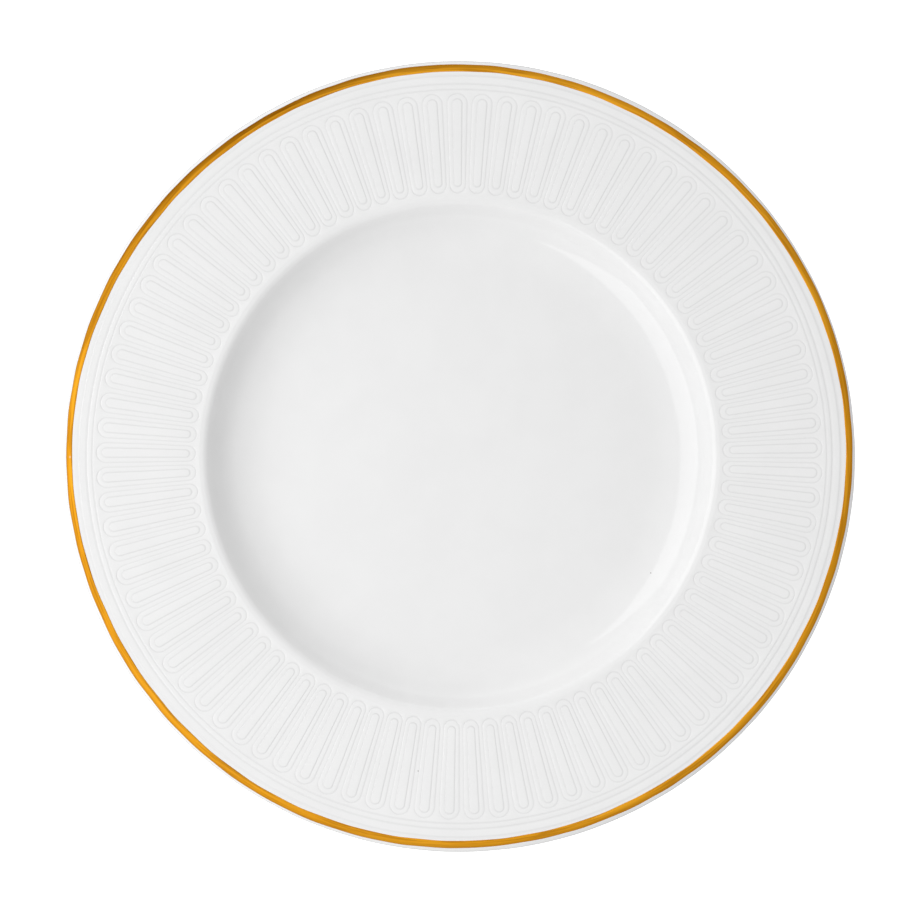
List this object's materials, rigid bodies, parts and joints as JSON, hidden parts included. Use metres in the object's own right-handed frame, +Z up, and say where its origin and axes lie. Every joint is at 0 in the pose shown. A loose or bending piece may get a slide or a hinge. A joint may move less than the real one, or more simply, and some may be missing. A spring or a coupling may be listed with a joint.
{
  "type": "dinner plate",
  "caption": "Round rimmed dinner plate of glazed white porcelain, with a fluted rim, a gold line inside the lip, a flat well and a foot ring to stand on.",
  "frame": {"origin": "middle of the plate, at the height of the foot ring's bearing face", "axes": "+Z up along the plate's axis of revolution, out of the well; X and Y lie in the table"},
  "size_m": [0.27, 0.27, 0.0218],
  "materials": {
    "glazed_porcelain": "clear gloss glaze over white china, bare only on the foot ring's bearing face",
    "burnished_gold": "thin fired gold line, brushed on by hand and burnished"
  },
  "bodies": {
    "root": {"porcelain_body": "glazed_porcelain", "gilt_rim_band": "burnished_gold"}
  },
  "joints": []
}
